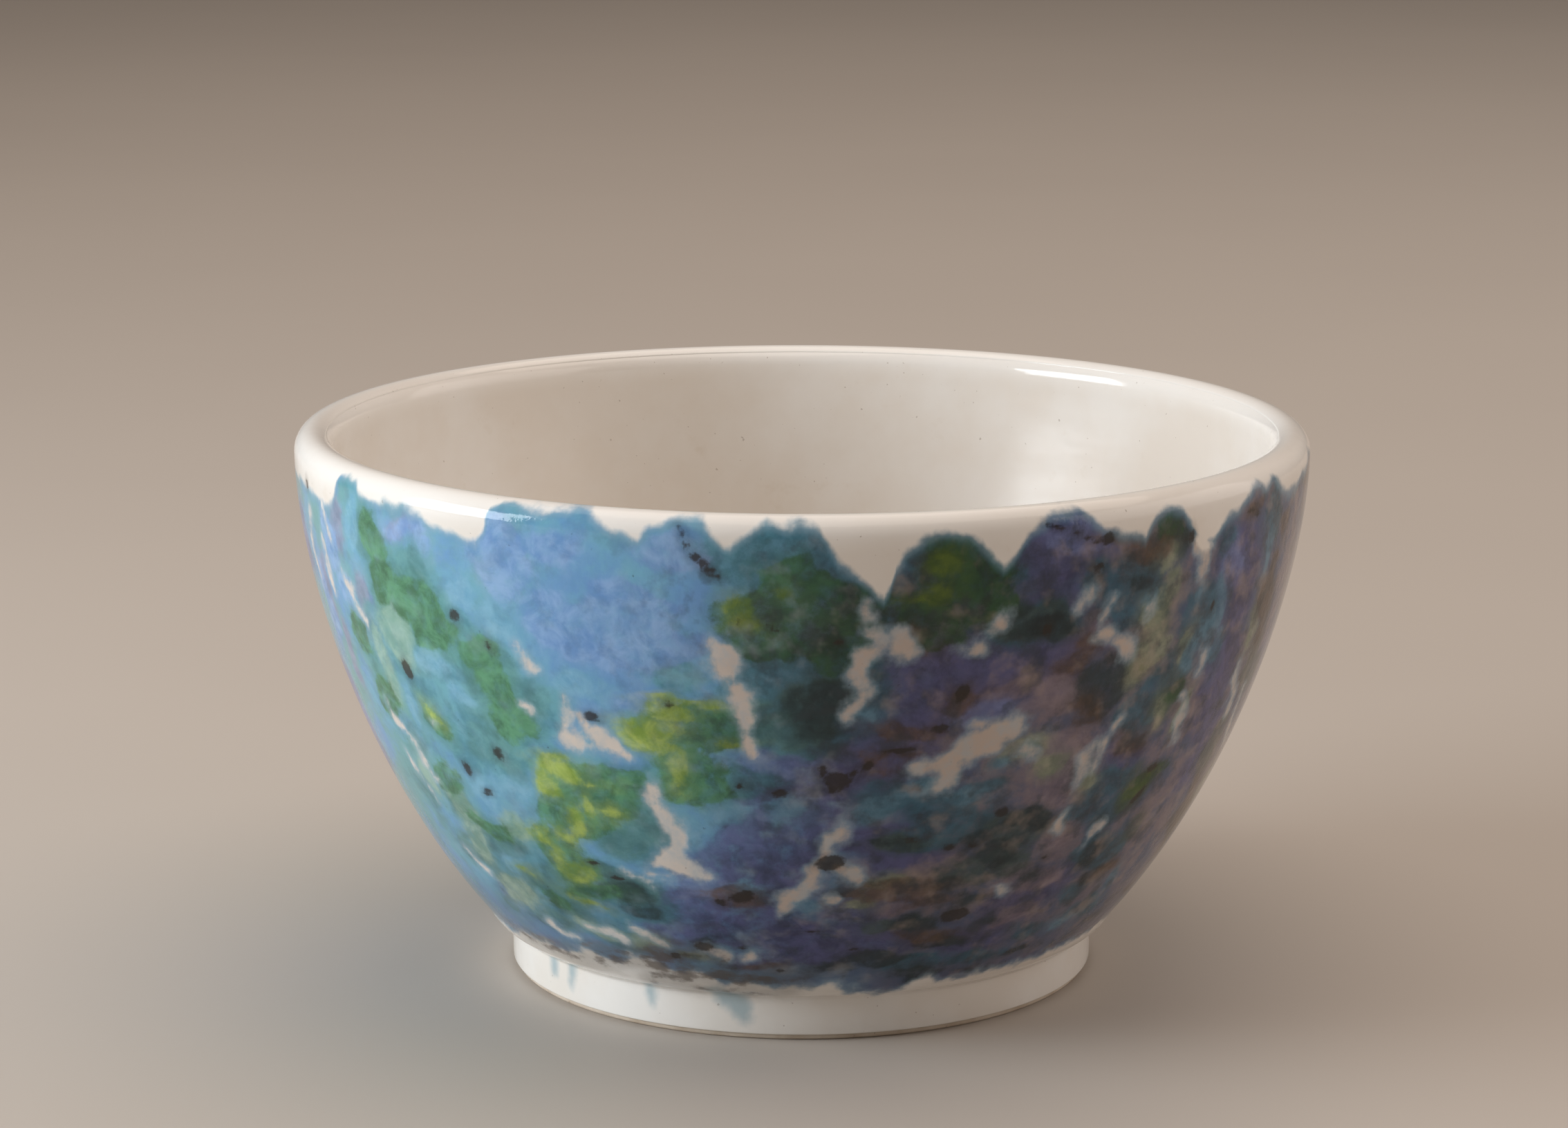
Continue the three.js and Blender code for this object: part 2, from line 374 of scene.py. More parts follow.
# A clear light blue that shows between the greens and the violets.
AQUA = [
    (-57.2, 130, 1.7, 10), (-45.4, 99, 3.2, 5), (-42.4, 91, 3, 4.6), (-52, 83, 1.6, 6), (-43, 64, 3, 5),
    (-38.6, 68, 3.4, 3.4), (-34.4, 113, 3, 6), (-31.6, 104, 2, 4), (-39, 118, 2, 5), (-24.8, 98, 4, 4),
    (51.6, 109, 2.2, 9), (49.2, 99, 1.7, 6), (53.6, 98, 1.4, 6), (48, 116, 1, 4), (39.6, 117, 1.2, 3),
    (20, 70, 3.4, 4), (14, 75, 3.4, 3.4), (-10, 68, 4, 6), (-13.6, 62, 2.4, 5), (24, 80, 2, 3),
    (8, 93, 2, 3), (62, 118, 1.2, 8), (-30.6, 35, 2, 3), (8.8, 70, 3, 4), (-2, 68, 2.4, 3),
    (0.4, 42, 2.4, 4), (-44, 45, 2, 4), (46, 28, 3, 3.4), (52, 37, 2, 4),
]

# A lighter violet-blue, washed over the blue and the violet.
PERIWINKLE = [
    (-20.5, 112, 9, 9), (-18, 120, 6, 6), (-33.5, 131, 4, 7), (-32, 125, 4, 6), (-26.5, 133, 4, 5),
    (-14, 111, 5, 5), (-64, 122, 2.6, 10), (-61.5, 111, 2, 6), (29.8, 135, 4.4, 6), (27, 139.4, 3, 2.4),
    (-13, 134, 5, 5), (-46, 132, 3.5, 3.4), (-43.6, 128, 2, 3), (-54.5, 106, 2, 5), (-70, 104, 2.4, 12),
    (-28, 115, 3, 8), (-17, 96, 4, 3), (53.6, 122, 2.6, 8), (-5, 79, 4, 4), (-13, 46, 4, 4), (21, 93, 4, 4),
    (-50, 33, 3, 5),
]

# Mid teal.
TEAL = [
    (-2, 135, 9, 6), (-5, 131, 5, 6), (3, 129, 6, 5), (8, 121, 4, 7), (10, 127, 3, 6),
    (-13.6, 103, 3.4, 4.4), (13, 134, 4.4, 4), (9.4, 117, 3, 5), (17, 134, 5, 4), (19, 127, 5, 6),
    (0, 104, 9, 11), (-5, 104, 5, 8), (4, 98, 6, 8), (-4, 92, 6, 7), (0, 87, 7, 4), (-46.6, 120, 4.4, 7),
    (-44, 108, 6, 10), (-37, 98, 7, 11), (-33, 91, 7, 9), (-48, 97, 6, 10), (-34, 80, 6, 7),
    (-41, 76, 7, 8), (-43, 85, 4, 6), (-22, 66, 6, 8), (-21, 58, 5, 6), (-14, 76, 6, 5), (-8.5, 76, 6, 5),
    (-27, 44, 8, 7), (-24, 38, 7, 6), (-33, 36, 6, 5), (-41, 50, 7, 7), (-45, 42, 6, 7), (-37, 41, 6, 6),
    (-48, 56, 4, 7), (12, 73, 6, 5), (18, 67, 6, 6), (16, 61, 6, 5), (22, 72, 4, 4), (36, 122, 6, 8),
    (38, 116, 4.4, 6), (24, 115, 7, 6), (48.6, 109, 3.4, 10), (47.4, 98, 3.4, 6), (44, 91, 4, 7),
    (41, 86, 3.6, 6), (40, 68, 5, 7), (37, 62, 4, 6), (20, 62, 5, 4), (43, 60, 4.4, 6), (42, 50, 5, 6),
    (47, 48, 4, 6), (-60, 99, 2, 6), (-18, 63, 3, 5), (52, 127, 2.4, 5), (63, 130, 2.2, 8), (-29, 33, 5, 4),
    (-31, 28, 6, 4), (-40, 31, 6, 4), (29, 22, 6, 3), (18, 22, 7, 4), (44, 37, 4, 5), (50, 30, 5, 4),
    (38, 28, 4, 3.4),
]

# Deep teal, nearly black where it is thick.
DEEP = [
    (1.6, 97, 4.6, 7), (2.4, 90, 4, 4.4), (-9.4, 93, 1.4, 3), (-22.8, 76.8, 2.2, 1.4),
    (-20.8, 73.4, 1.2, 2.2), (35.2, 96.4, 4.2, 9), (26, 113.4, 4.6, 3.4), (24.4, 118.4, 2, 3),
    (38.4, 122, 1.6, 2.4), (29, 62, 4, 4), (26, 54, 4, 4), (20, 46, 4, 3.6), (24.6, 41, 4, 3.4),
    (17, 35, 4, 3), (21, 29, 6, 3.4), (12, 24, 6, 3), (43.4, 48, 3.4, 5), (46.4, 41, 3, 4),
    (42.6, 57.6, 1.6, 3.4), (-26, 42, 4.4, 3.4), (-23.4, 37.6, 4, 3), (-17.6, 24.6, 3.4, 2),
    (-11.6, 22.6, 3, 1.8), (-14.6, 29, 2.6, 1.8), (44.6, 131, 1.2, 3.4), (20, 18.6, 6, 2.6),
    (28, 17.4, 3, 1.8), (5, 22, 4, 2), (9.6, 60.4, 3, 1.6), (33, 46, 2, 3), (65.6, 108, 2.6, 8),
    (22, 58, 3, 3), (55, 24, 4, 2.4), (37, 21, 4, 2), (30, 35, 2.4, 2.4),
]

# Green.
GREEN = [
    (1, 121, 8.4, 9), (4, 117, 5.4, 10), (-3, 117, 6.4, 8), (-1.4, 129, 3.6, 3.6), (-5.4, 120, 4, 5),
    (-4, 112, 4.4, 4), (17.2, 127, 5.4, 7.6), (14.6, 118.6, 5.4, 6.4), (18.4, 121, 4.4, 7),
    (16.8, 133, 4, 3.2), (14.4, 112.6, 3.4, 3), (-52.6, 126, 3, 7), (-52, 117, 3, 6),
    (-46.4, 113, 4.6, 7), (-44.4, 107, 3.6, 6), (-37.6, 103, 3.4, 5), (-36, 96, 3, 7), (-35, 88, 4, 7),
    (-10.6, 93, 6.6, 5.4), (-13, 89, 7, 6), (-13.4, 80, 4.4, 6), (-12.6, 74, 4.4, 4.4), (-26, 71, 7, 9),
    (-22.6, 73, 5.4, 5), (-29.6, 63, 5.4, 8), (-34, 53, 4.4, 6), (-32, 47, 4.4, 4.4), (-31, 41.4, 4.6, 3),
    (-11.4, 92.4, 4, 4.4), (-45, 54, 4, 4), (-58, 84, 2.6, 6), (-60.6, 101, 2.2, 6), (48, 68, 3.6, 4),
    (41.4, 133.6, 2.6, 4), (4.6, 107, 3, 3), (-50, 65, 2.4, 6), (-47.6, 82, 2.6, 5), (47.6, 90, 1.6, 5),
    (-38, 36, 3, 4),
]

# Lime, where the green is mixed with yellow.
LIME = [
    (-17.2, 89, 4.6, 4), (-18, 85.6, 3.4, 3), (-14.6, 94, 2.6, 3.4), (-12.4, 97.4, 5.4, 1.4),
    (-14.2, 79.6, 1.8, 6), (-7.4, 86.2, 2, 1.4), (-5.4, 117, 2.4, 2.2), (-6.4, 122, 1.6, 2.4),
    (12.2, 123, 3.4, 2.2), (14.6, 129.6, 2.2, 3.4), (-29.2, 75.4, 3.4, 3.4), (-32, 71, 1.8, 4.6),
    (-29.8, 78.6, 2.6, 1.4), (-27.4, 66, 1.2, 4.6), (-25, 73.4, 2.6, 1), (-29.2, 62, 1.4, 4.6),
    (-35.8, 55.6, 2.6, 2.6), (-34, 51.6, 1.8, 3.6), (-32.6, 47, 2.8, 3.4), (-41.6, 43, 2.2, 1.4, -20),
    (-31.4, 37.4, 3.6, 1.2, -25), (-47.8, 84.6, 1, 2.2), (-31.4, 57, 1.4, 3), (-15.6, 84, 2.4, 3),
    (47.6, 69, 1.8, 2), (-24, 66, 1.2, 2.4), (40.6, 101, 1, 2), (46.8, 65, 1.6, 4), (-6.6, 119, 1.4, 4),
    (-2, 124.6, 1.6, 1.4),
]

# Brown, thin and watery.
UMBER = [
    (36, 132.6, 5.4, 2.2, -8), (39.4, 130.6, 3.6, 1.8), (30.4, 104, 2.8, 3.8), (32.8, 91, 2.6, 3.6),
    (38, 128.6, 4, 2.4), (65.4, 108, 2.8, 8), (65.4, 117, 1.8, 5), (66, 98, 1.6, 6), (32, 108.6, 3, 3),
    (33, 88.4, 2.6, 3), (14, 45, 7, 4), (17, 41, 4, 3), (19, 31.6, 6, 3), (58, 133.6, 2.6, 2.4),
    (12.6, 89.6, 4.4, 2.4), (10, 83.8, 4, 1.4), (17.6, 97.6, 2.8, 4), (-22, 24, 2.6, 2),
    (-9.6, 44.6, 5, 2.8), (67, 126, 2, 4), (8, 47, 4, 2.6), (43, 79, 2.4, 3), (-50, 19.6, 5, 2),
    (-38, 22.4, 3, 1.2), (-24.6, 26, 2.4, 1.2), (-6, 22, 4, 2), (11, 114.6, 1.2, 2), (12.6, 109.6, 2, 1.4),
    (9, 79.6, 2, 2.6), (49, 41, 2.6, 3),
]

# Small dark spots where the oxide came through the glaze.
SPOTS = [
    (3.8, 112.6, 1.1, 0.8), (-6.5, 117.6, 0.9, 0.9), (17.4, 98.6, 1.8, 2.8), (15.7, 90, 2.2, 1.3),
    (4, 77.2, 3.2, 2.6), (2.6, 79.8, 1.2, 1.6), (6, 79.2, 1.5, 1.2), (7.6, 81.2, 1.1, 1.9, -25),
    (-2.6, 73.2, 2.4, 1.3), (-7.3, 75.4, 1.3, 0.8), (3.7, 54.5, 3.6, 2.5), (22.6, 36.6, 3.8, 2.3),
    (26.6, 112.4, 1.4, 1.9), (32.4, 126.2, 1.7, 1.3), (33.2, 133.4, 2.2, 1.4), (48.2, 70, 2, 1.5),
    (47.6, 62.6, 1.1, 2.9, -35), (-50.8, 94.4, 1.9, 3.4, 12), (-40.3, 112, 1.5, 1.6),
    (-36, 105.8, 1.4, 1.4), (-45.2, 70.6, 1.4, 2.3, 20), (-42.4, 65, 1.8, 1, 20), (-23.8, 91, 2.2, 1.3),
    (-28.7, 49.6, 2, 0.9), (-25.4, 46.4, 2, 0.8), (-8, 44.4, 3, 1.9, 20), (-11, 42.4, 1.6, 1.1),
    (1.3, 33.6, 3.2, 0.5), (-9, 28.2, 1.5, 0.8), (18.6, 57.2, 1.8, 1.3), (25, 65.4, 2.2, 1.7),
    (11, 84.6, 4.4, 0.9, 8), (45.4, 130.6, 1.2, 2.2), (-14.6, 96.2, 1.1, 0.8), (22, 57, 1.2, 0.9),
    (13.6, 60.4, 2.6, 0.8), (-71, 133.6, 1.4, 1.4), (-15, 28, 2.4, 1.8), (-20.6, 24, 1.6, 1.4),
    (34, 50.6, 1.2, 0.9), (51, 111, 1, 1.8), (-38.2, 77.4, 1.6, 1.8), (-3.4, 21.2, 1.4, 0.9),
    (8, 27.6, 1.6, 0.8), (3.6, 75, 1.4, 1.2),
]
DARK_STROKES = [
    [(-12.6, 139.4, 0.5), (-12.2, 137.6, 0.8)],
    [(-11.9, 136.2, 0.7), (-11.5, 134.6, 0.7)],
    [(-11.2, 133.4, 0.9), (-10.2, 131.4, 1), (-9.3, 129.7, 1.4), (-8.6, 128.4, 0.7),
     (-7.8, 127.4, 0.3)],
    [(-4, 118.2, 0.3), (-3, 116.2, 0.6), (-1.6, 113.4, 0.3)],
    [(25.6, 138.4, 0.3), (28, 136.8, 0.5), (30.6, 134.2, 0.7), (32.6, 132, 0.5)],
    [(56, 133, 0.6), (58.4, 131.6, 0.9)],
]

# Thin runs of colour that reached the white foot.
FOOT_STREAKS = [
    [(-29.6, 11.6, 1), (-29.4, 9, 1.1), (-29.2, 6.4, 0.6)],
    [(-56.4, 12.4, 1.5), (-56, 8, 1.2)],
    [(-49.6, 11.4, 1.4), (-50, 6.4, 0.9)],
    [(-15.6, 13, 2.6), (-12.6, 10.4, 3.2), (-11, 8, 2.2), (-10.2, 4.8, 0.9)],
]

# Painted brown shade and painted reflection along the crease between the bowl and its foot.
PAINTED_CREASE_SHADE_STREAKS = [
    [(-60, 18.6, 0.6), (-48, 17.4, 1.1), (-38, 17.6, 1.5), (-30, 19, 2.4), (-24, 20.4, 2.8)],
    [(-27, 16.6, 1.6), (-18, 18.4, 3.2), (-11, 17.6, 3.2), (-5, 18.4, 2.2), (0, 18.2, 1)],
    [(-27, 13.8, 0.8), (-18, 13.4, 1.4), (-9, 13.6, 1.4), (-2, 14.6, 0.8)],
    [(-22, 27.6, 0.6), (-18, 26, 1.2), (-13, 24.6, 1)],
    [(-36, 20, 0.6), (-30, 22.4, 2), (-24, 23.4, 2.2), (-20, 22.6, 1)],
    [(96, 17, 0.6), (112, 15.6, 1.6), (128, 16.6, 1.1), (140, 15.4, 0.5)],
    [(196, 16.4, 0.6), (210, 15.6, 1.8), (226, 15, 1.4), (240, 17, 0.5)],
]

# A bare stroke is drawn at this share of its listed width, because its edges feather outwards.
BARE_SHARE = 0.55

# The layers of dabs, in the order that they lie over each other.
DABS = {
    "violet": VIOLET, "mauve": MAUVE_DABS, "periwinkle": PERIWINKLE, "teal": TEAL, "sea": SEA,
    "sage": SAGE, "aqua": AQUA, "deep": DEEP, "green": GREEN, "lime": LIME, "umber": UMBER,
}

# The sides and the back, which the photo doesn't show, get the front's marks again: turned upside
# down and mirrored, so that each keeps its side of the bowl, spread out and moved about.
FRONT_START, FRONT_END = -82.0, 66.0
BACK_START, BACK_END = 66.0, 278.0
BACK_SPREAD = (BACK_END - BACK_START) / (FRONT_END - FRONT_START)
BACK_SEED = 41
LOWEST_DAB, HIGHEST_DAB = 26.0, 131.0
WIDTH_CHANGE = (0.8, 1.1)
HEIGHT_CHANGE = (0.85, 1.15)
DAB_LEAN = (-30, 30)
SPOT_LEAN = (-40, 40)


def behind(marks, rng, turn=2.0, climb=2.5):
    """Copies of marks for the back. Those near the lip and the foot keep their heights."""
    shift, lift = rng.uniform(-turn, turn), rng.uniform(-climb, climb)
    flip = all(LOWEST_DAB < mark[1] < HIGHEST_DAB for mark in marks)
    return [(BACK_START + (FRONT_END - azimuth) * BACK_SPREAD + shift,
             LOWEST_DAB + HIGHEST_DAB - height + lift if flip else height, *sizes)
            for azimuth, height, *sizes in marks]


def paint_the_back():
    """Adds marks over the sides and the back to the lists."""
    rng = random.Random(BACK_SEED)
    for marks in DABS.values():
        for azimuth, height, half_width, half_height, *_ in list(marks):
            half_width *= BACK_SPREAD * rng.uniform(*WIDTH_CHANGE)
            half_height *= rng.uniform(*HEIGHT_CHANGE)
            lean = rng.uniform(*DAB_LEAN)
            marks.extend(behind([(azimuth, height, half_width, half_height, lean)], rng))
    for azimuth, height, half_width, half_height, *_ in list(SPOTS):
        lean = rng.uniform(*SPOT_LEAN)
        SPOTS.extend(behind([(azimuth, height, half_width, half_height, lean)], rng,
                            turn=5.0, climb=5.0))
    for strokes in (BARE, DARK_STROKES):
        strokes.extend([behind(stroke, rng) for stroke in strokes])


def unrolled(radius, height):
    """Height on the outside of the wall. It keeps rising over the lip and down the inside."""
    past = (radius < LIP_MIDDLE_RADIUS) & (height > WIDEST_HEIGHT - 2)
    return np.where(past, 2 * LIP_HEIGHT - height, height)


class Canvas:
    """The bowl's outside, laid flat enough to measure how far each vertex is from each mark."""

    REACH = 8.0      # how far outside a mark the distance is kept, in mm
    SPAN = 20.0      # the range of distances that is kept, in mm

    def __init__(self, piece, path):
        self.piece = piece
        xyz = points_of(piece)
        self.azimuth = np.degrees(np.arctan2(xyz[:, 0], -xyz[:, 1]))
        self.radius = np.hypot(xyz[:, 0], xyz[:, 1])
        self.height = unrolled(self.radius, xyz[:, 2])
        climb = unrolled(*path.T)
        run = run_along(path)
        self.run_of = lambda z: np.interp(z, climb, run)
        self.radius_of = lambda z: np.interp(z, climb, path[:, 0])
        self.run = self.run_of(self.height)
        self.stray_across = wander(xyz, seed=1)
        self.stray_along = wander(xyz, seed=3)

    def blank(self):
        return np.full(len(self.radius), -self.REACH)

    def across(self, azimuth):
        """How far each vertex is to the right of an azimuth, in mm round the wall."""
        turn = (self.azimuth - azimuth + 180.0) % 360.0 - 180.0
        return np.radians(turn) * self.radius

    def wide_at(self, height, degrees):
        """A width in degrees, as mm round the wall at a height."""
        return math.radians(degrees) * float(self.radius_of(height))

    def dab(self, field, azimuth, height, half_width, half_height, lean=0.0, stray=1.0):
        """Raises field to the depth inside an elliptical dab, in mm."""
        u = self.across(azimuth) + stray * self.stray_across
        v = self.run - self.run_of(height) + stray * self.stray_along
        c, s = math.cos(math.radians(lean)), math.sin(math.radians(lean))
        away = np.hypot((u * c + v * s) / half_width, (v * c - u * s) / half_height)
        depth = (1.0 - away) * math.sqrt(half_width * half_height)
        np.maximum(field, depth, out=field)

    def stroke(self, field, points, stray=0.6):
        """Raises field to the depth inside a stroke whose width changes along it, in mm."""
        for (a0, z0, w0), (a1, z1, w1) in zip(points, points[1:]):
            u = self.across((a0 + a1) / 2) + stray * self.stray_across
            v = self.run - self.run_of(z0) + stray * self.stray_along
            du = math.radians(a1 - a0) * self.radius_of((z0 + z1) / 2)
            dv = self.run_of(z1) - self.run_of(z0)
            t = np.clip(((u + du / 2) * du + v * dv) / (du * du + dv * dv), 0.0, 1.0)
            away = np.hypot(u + du / 2 - t * du, v - t * dv)
            np.maximum(field, w0 + (w1 - w0) * t - away, out=field)

    def keep(self, name, field):
        """Stores a field of depths on the mesh, from 0 at REACH outside a mark."""
        share = np.clip((field + self.REACH) / self.SPAN, 0.0, 1.0)
        layer = self.piece.data.attributes.new(name, "FLOAT", "POINT")
        layer.data.foreach_set("value", share.astype(np.float32))


def paint(piece, path):
    """Writes every mark of the painting onto the outside glaze as fields of depth."""
    canvas = Canvas(piece, path)
    for layer, dabs in DABS.items():
        field = canvas.blank()
        for azimuth, height, half_width, *rest in dabs:
            canvas.dab(field, azimuth, height, canvas.wide_at(height, half_width), *rest)
        canvas.keep(layer, field)

    spots = canvas.blank()
    for spot in SPOTS:
        canvas.dab(spots, *spot, stray=0.25)
    for points in DARK_STROKES:
        canvas.stroke(spots, points, stray=0.05)
    canvas.keep("spots", spots)

    for name, strokes, stray in (("painted_crease_shade", PAINTED_CREASE_SHADE_STREAKS, 0.5), ("stain", FOOT_STREAKS, 0.2)):
        field = canvas.blank()
        for points in strokes:
            canvas.stroke(field, points, stray)
        canvas.keep(name, field)

    bare = canvas.blank()
    for points in BARE:
        canvas.stroke(bare, [(azimuth, z, canvas.wide_at(z, half_width) * BARE_SHARE)
                             for azimuth, z, half_width in points])
    canvas.keep("bare", bare)

    azimuth = (canvas.azimuth + 90.0) % 360.0 - 90.0
    stray = 0.5 * canvas.stray_along
    top = np.interp(azimuth, *np.array(TOP_EDGE, float).T)
    bottom = np.interp(azimuth, *np.array(BOTTOM_EDGE, float).T)
    canvas.keep("over", canvas.height - top + stray)
    canvas.keep("under", bottom - canvas.height + stray)


# ---- materials

class Graph:
    """A material's node tree, built in a few words a node."""

    def __init__(self, name):
        self.material = bpy.data.materials.new(name)
        self.material.use_nodes = True
        self.tree = self.material.node_tree
        self.tree.nodes.clear()
        self.shader = self.node("ShaderNodeBsdfPrincipled")
        out = self.node("ShaderNodeOutputMaterial")
        self.tree.links.new(self.shader.outputs[0], out.inputs["Surface"])
        self.place = self.node("ShaderNodeTexCoord").outputs["Object"]

    def node(self, kind, **settings):
        made = self.tree.nodes.new(kind)
        for key, value in settings.items():
            setattr(made, key, value)
        return made

    def put(self, socket, value):
        if isinstance(value, bpy.types.NodeSocket):
            self.tree.links.new(value, socket)
        else:
            socket.default_value = value

    def along(self, axis):
        """How far along the X, Y or Z axis a point is, in metres."""
        parts = self.node("ShaderNodeSeparateXYZ")
        self.put(parts.inputs[0], self.place)
        return parts.outputs[axis]

    def math(self, operation, *values, clamp=False):
        made = self.node("ShaderNodeMath", operation=operation, use_clamp=clamp)
        for socket, value in zip(made.inputs, values):
            self.put(socket, value)
        return made.outputs[0]

    def noise(self, size, seed, detail=3.0, rough=0.55, distortion=0.0, squash=None):
        """Noise from 0 to 1 whose lumps are about size millimetres across."""
        place = self.place
        if squash:
            stretch = self.node("ShaderNodeMapping")
            self.put(stretch.inputs["Vector"], place)
            stretch.inputs["Scale"].default_value = squash
            place = stretch.outputs[0]
        made = self.node("ShaderNodeTexNoise", noise_dimensions="4D")
        self.put(made.inputs["Vector"], place)
        made.inputs["W"].default_value = seed
        made.inputs["Scale"].default_value = 1.0 / (size * MM)
        made.inputs["Detail"].default_value = detail
        made.inputs["Roughness"].default_value = rough
        made.inputs["Distortion"].default_value = distortion
        return made.outputs["Fac"]

    def ramp(self, value, low, high, to_low=0.0, to_high=1.0):
        """A smooth step: to_low where the value is low, to_high where it is high."""
        made = self.node("ShaderNodeMapRange", interpolation_type="SMOOTHSTEP")
        for socket, number in zip(made.inputs, (value, low, high, to_low, to_high)):
            self.put(socket, number)
        return made.outputs["Result"]

    def patches(self, size, seed, low, high, to_low=0.0, to_high=1.0, **grain):
        """Soft patches about size mm across. Noise from low to high becomes to_low to to_high."""
        return self.ramp(self.noise(size, seed, **grain), low, high, to_low, to_high)

    def ragged(self, size, seed, **grain):
        """Noise about zero, to tear edges with."""
        return self.math("SUBTRACT", self.noise(size, seed, **grain), 0.5)

    def mix(self, share, a, b):
        made = self.node("ShaderNodeMix", data_type="RGBA", blend_type="MIX")
        self.put(made.inputs["Factor"], share)
        self.put(made.inputs["A"], rgba(a))
        self.put(made.inputs["B"], rgba(b))
        return made.outputs["Result"]

    def wash(self, share, a, b, strength):
        """Colour a, with colour b over it at no more than strength."""
        return self.mix(self.math("MULTIPLY", share, strength), a, b)

    def depth(self, name, tear, reach):
        """How deep inside its mark a point is, in mm, from a stored field. tear, which is noise,
        moves the mark's edge by up to half of reach."""
        kept = self.node("ShaderNodeAttribute", attribute_name=name).outputs["Fac"]
        kept = self.math("MULTIPLY_ADD", kept, Canvas.SPAN, -Canvas.REACH)
        return self.math("MULTIPLY_ADD", tear, reach, kept)

    def bump(self, height, strength, distance, normal=None):
        made = self.node("ShaderNodeBump")
        made.inputs["Strength"].default_value = strength
        made.inputs["Distance"].default_value = distance * MM
        self.put(made.inputs["Height"], height)
        if normal is not None:
            self.put(made.inputs["Normal"], normal)
        return made.outputs[0]


def rgba(colour):
    if isinstance(colour, tuple) and len(colour) == 3:
        return (*colour, 1.0)
    return colour


# Colours, as linear albedo.
MILK = (0.80, 0.75, 0.69)
MILK_THICK = (0.85, 0.825, 0.79)
MILK_THIN = (0.68, 0.60, 0.50)
# Painted light: the glaze on the lip, painted lighter where light from above falls on it.
MILK_LIP_PAINTED_LIGHT = (0.93, 0.91, 0.88)
# Stained milk, which on the right of the bowl also stands in for painted shade.
MILK_STAINED_AND_SHADED = (0.43, 0.335, 0.285)
SPECK = (0.20, 0.13, 0.08)
SKY = (0.145, 0.33, 0.62)
CYAN = (0.17, 0.42, 0.58)
SLATE = (0.075, 0.10, 0.19)
MAUVE = (0.20, 0.165, 0.20)
FRINGE = (0.11, 0.29, 0.41)
SEA_WASH = (0.15, 0.37, 0.36)
WASH = (0.36, 0.50, 0.60)
STAIN = (0.20, 0.36, 0.43)
# Painted shade: the brown shade and reflection along the crease over the foot.
PAINTED_CREASE_SHADE = (0.085, 0.062, 0.048)
SPOT = (0.022, 0.016, 0.012)
BLOT = (0.030, 0.040, 0.050)
CLAY = (0.66, 0.57, 0.47)
CLAY_DARK = (0.52, 0.42, 0.32)
PAPER = (0.57, 0.52, 0.47)
PAPER_SHADE = (0.53, 0.48, 0.435)

# Each pigment is a light and a dark tone on the left, where it was thinned, the same on the
# right, and how much it covers.
PIGMENTS = {
    "violet": ((0.16, 0.21, 0.48), (0.09, 0.12, 0.3), (0.088, 0.092, 0.225), (0.042, 0.046, 0.115), 0.92),
    "mauve": ((0.3, 0.32, 0.46), (0.2, 0.23, 0.36), (0.25, 0.2, 0.235), (0.145, 0.115, 0.15), 0.84),
    "periwinkle": ((0.29, 0.46, 0.76), (0.14, 0.29, 0.6), (0.19, 0.235, 0.47), (0.11, 0.14, 0.32), 0.8),
    "teal": ((0.15, 0.4, 0.47), (0.075, 0.25, 0.31), (0.035, 0.125, 0.19), (0.018, 0.06, 0.09), 0.86),
    "sea": ((0.14, 0.35, 0.36), (0.076, 0.22, 0.235), (0.06, 0.1, 0.085), (0.026, 0.05, 0.048), 0.8),
    "sage": ((0.34, 0.52, 0.44), (0.2, 0.38, 0.32), (0.3, 0.33, 0.24), (0.15, 0.19, 0.135), 0.88),
    "aqua": ((0.24, 0.5, 0.66), (0.15, 0.38, 0.56), (0.13, 0.27, 0.38), (0.06, 0.16, 0.24), 0.8),
    "deep": ((0.035, 0.09, 0.1), (0.018, 0.045, 0.05), (0.016, 0.036, 0.042), (0.007, 0.016, 0.02), 0.88),
    "green": ((0.115, 0.33, 0.17), (0.045, 0.155, 0.065), (0.024, 0.085, 0.026),
        (0.009, 0.036, 0.014), 0.9),
    "lime": ((0.5, 0.62, 0.14), (0.24, 0.37, 0.05), (0.11, 0.17, 0.018), (0.045, 0.09, 0.012), 0.86),
    "umber": ((0.3, 0.24, 0.2), (0.18, 0.13, 0.1), (0.12, 0.072, 0.046), (0.05, 0.032, 0.022), 0.8),
}

GLAZE_IOR = 1.52
PAINTED_SPECULAR = 0.33
# Depths in mm between which a dab fades in.
SOFT_EDGE = (-1.5, 2.4)
CRISP_EDGE = (-1.0, 1.5)
# Places in metres between which the looks change: left to right, and then high to low.
LEFTWARD = (-0.010, -0.070)
RIGHTWARD = (0.010, 0.070)
DEEPENING = (-0.012, 0.050)
CROWDING = (-0.02, 0.05)
# Between these heights the dabs are painted darker towards the bottom, as painted shade.
SHADED_LOWER_HALF = (0.080, 0.030)
LOW_BAND = (0.045, 0.018)
# Each layer of dabs adds its number to these seeds.
DAB_TEAR_SEED = 31
DAB_MOTTLE_SEED = 41
DAB_GRAIN_SEED = 51


def milk_colour(g):
    """The milky glaze: a little warmer where it is thin, with fine iron specks, and painted lighter on the
    lip as painted light from above.
    """
    cloud = g.patches(34, seed=3, low=0.35, high=0.68, detail=4)
    colour = g.mix(cloud, MILK, MILK_THICK)
    thin = g.patches(11, seed=8, low=0.60, high=0.76, detail=5, rough=0.6)
    colour = g.wash(thin, colour, MILK_THIN, strength=0.32)
    # Painted light: the lip is painted lighter towards its top, where light from above falls on it.
    lip_painted_light = g.ramp(g.along("Z"), (WIDEST_HEIGHT - 4) * MM, (WIDEST_HEIGHT + 3) * MM, to_high=0.7)
    colour = g.mix(lip_painted_light, colour, MILK_LIP_PAINTED_LIGHT)
    speck = g.patches(1.25, seed=5, low=0.735, high=0.79, detail=1)
    return g.wash(speck, colour, SPECK, strength=0.40)


